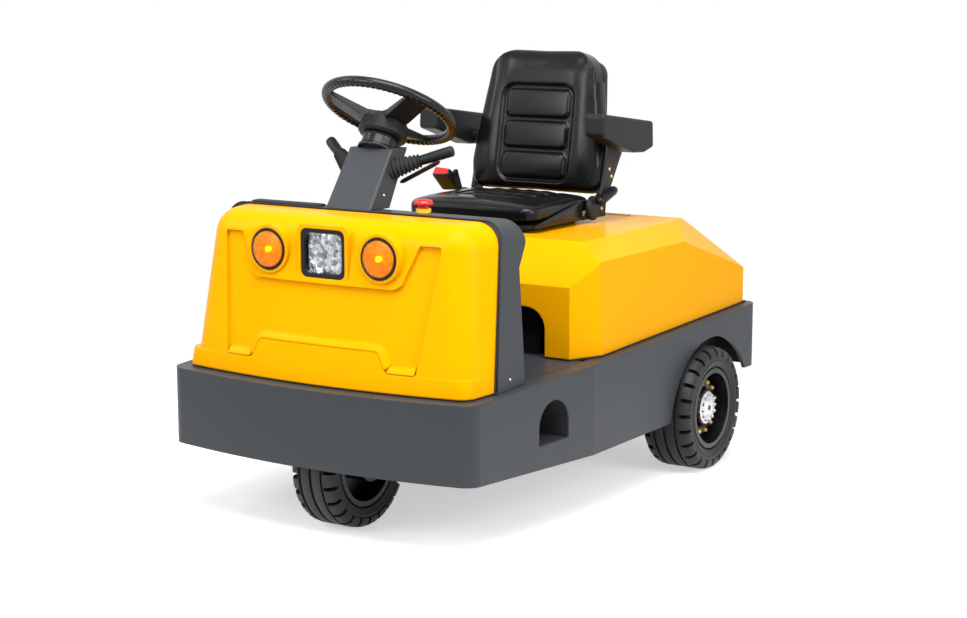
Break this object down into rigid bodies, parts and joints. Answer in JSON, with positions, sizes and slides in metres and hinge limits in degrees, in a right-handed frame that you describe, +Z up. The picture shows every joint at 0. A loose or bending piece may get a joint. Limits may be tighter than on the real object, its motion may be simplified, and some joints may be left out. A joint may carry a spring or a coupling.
{
  "type": "three-wheel electric tow tractor",
  "caption": "Seated three-wheel tow tractor: yellow hoods on a deep grey skirt, steering column, sprung seat with armrests, solid tyres and a stepped tow jaw",
  "frame": {"origin": "on the ground, below the middle of the overall box", "axes": "-Y is forward, +X is the driver's left, +Z is up; the steered wheel is at the -Y end and the tow jaw at the +Y end"},
  "size_m": [1.29, 2, 1.4082],
  "materials": {
    "yellow_paint": "gloss",
    "grey_paint": "satin",
    "frame_paint": "matte",
    "battery_case": "matte",
    "black_plastic": "textured",
    "black_gloss": "satin",
    "black_vinyl": "satin",
    "gasket_rubber": "matte",
    "tyre": "matte",
    "rim_paint": "gloss",
    "hub_steel": "satin",
    "axle_iron": "matte",
    "amber_lens": "gloss",
    "clear_lens": "gloss",
    "red_plastic": "gloss",
    "yellow_plastic": "satin",
    "red_lens": "gloss"
  },
  "bodies": {
    "chassis": {"deck_plate": "frame_paint", "inner_frame": "frame_paint", "chassis_skirt": "grey_paint", "step_pockets": "frame_paint", "floor_plate": "grey_paint", "battery": "battery_case", "controller_box": "black_plastic", "drive_axle": "axle_iron", "tow_coupler": "grey_paint", "tail_lamps": "red_lens", "front_hood": "yellow_paint", "hood_gaskets": "gasket_rubber", "turn_lamps": "amber_lens", "lamp_bodies": "black_gloss", "headlamp_lens": "clear_lens", "dash_cowl": "grey_paint", "stop_collar": "yellow_plastic", "stop_button": "red_plastic", "column_cover": "grey_paint", "column_levers": "black_plastic", "pedals": "gasket_rubber"},
    "steering": {"steering_wheel": "black_gloss", "steering_hub": "black_plastic"},
    "fork": {"steer_fork": "frame_paint", "front_axle": "hub_steel"},
    "front_wheel": {"front_tyre": "tyre", "front_rim": "rim_paint"},
    "rear_left_wheel": {"rear_left_tyre": "tyre", "rear_left_rim": "rim_paint", "rear_left_hub_cap": "hub_steel"},
    "rear_right_wheel": {"rear_right_tyre": "tyre", "rear_right_rim": "rim_paint", "rear_right_hub_cap": "hub_steel"},
    "seat_hood": {"rear_hood": "yellow_paint", "seat_base": "black_plastic", "seat_cushion": "black_vinyl", "hinge_covers": "black_plastic", "belt_buckle": "black_plastic"},
    "back": {"back_frame": "frame_paint", "backrest": "black_vinyl", "back_shell": "black_plastic"},
    "left_arm": {"armrest_left": "black_plastic"},
    "right_arm": {"armrest_right": "black_plastic"}
  },
  "joints": [
    {"name": "fork_turn", "type": "hinge", "parent": "chassis", "child": "fork", "pos_m": [0, -0.765, 0.44], "axis": [0, 0, 1], "range_deg": [-75, 75]},
    {"name": "steering_turn", "type": "hinge", "parent": "chassis", "child": "steering", "pos_m": [-0.055, -0.462, 1.258], "axis": [0, 0.5, 0.866], "range_deg": [-450, 450]},
    {"name": "front_wheel_spin", "type": "hinge", "parent": "fork", "child": "front_wheel", "pos_m": [0, -0.765, 0.205], "axis": [1, 0, 0], "continuous": true},
    {"name": "rear_left_spin", "type": "hinge", "parent": "chassis", "child": "rear_left_wheel", "pos_m": [0.555, 0.47, 0.212], "axis": [1, 0, 0], "continuous": true},
    {"name": "rear_right_spin", "type": "hinge", "parent": "chassis", "child": "rear_right_wheel", "pos_m": [-0.555, 0.47, 0.212], "axis": [1, 0, 0], "continuous": true},
    {"name": "seat_hood_tilt", "type": "hinge", "parent": "chassis", "child": "seat_hood", "pos_m": [0, 0.879, 0.52817], "axis": [-1, 0, 0], "range_deg": [0, 60]},
    {"name": "back_fold", "type": "hinge", "parent": "seat_hood", "child": "back", "pos_m": [-0.025, 0.402, 0.934], "axis": [-1, 0, 0], "range_deg": [-12, 30]},
    {"name": "left_arm_fold", "type": "hinge", "parent": "back", "child": "left_arm", "pos_m": [0.24, 0.455, 1.11], "axis": [-1, 0, 0], "range_deg": [0, 80]},
    {"name": "right_arm_fold", "type": "hinge", "parent": "back", "child": "right_arm", "pos_m": [-0.29, 0.455, 1.11], "axis": [-1, 0, 0], "range_deg": [0, 80]}
  ],
  "couplings": [
    {"joint": "steering_turn", "follows": "fork_turn", "ratio": 6}
  ]
}
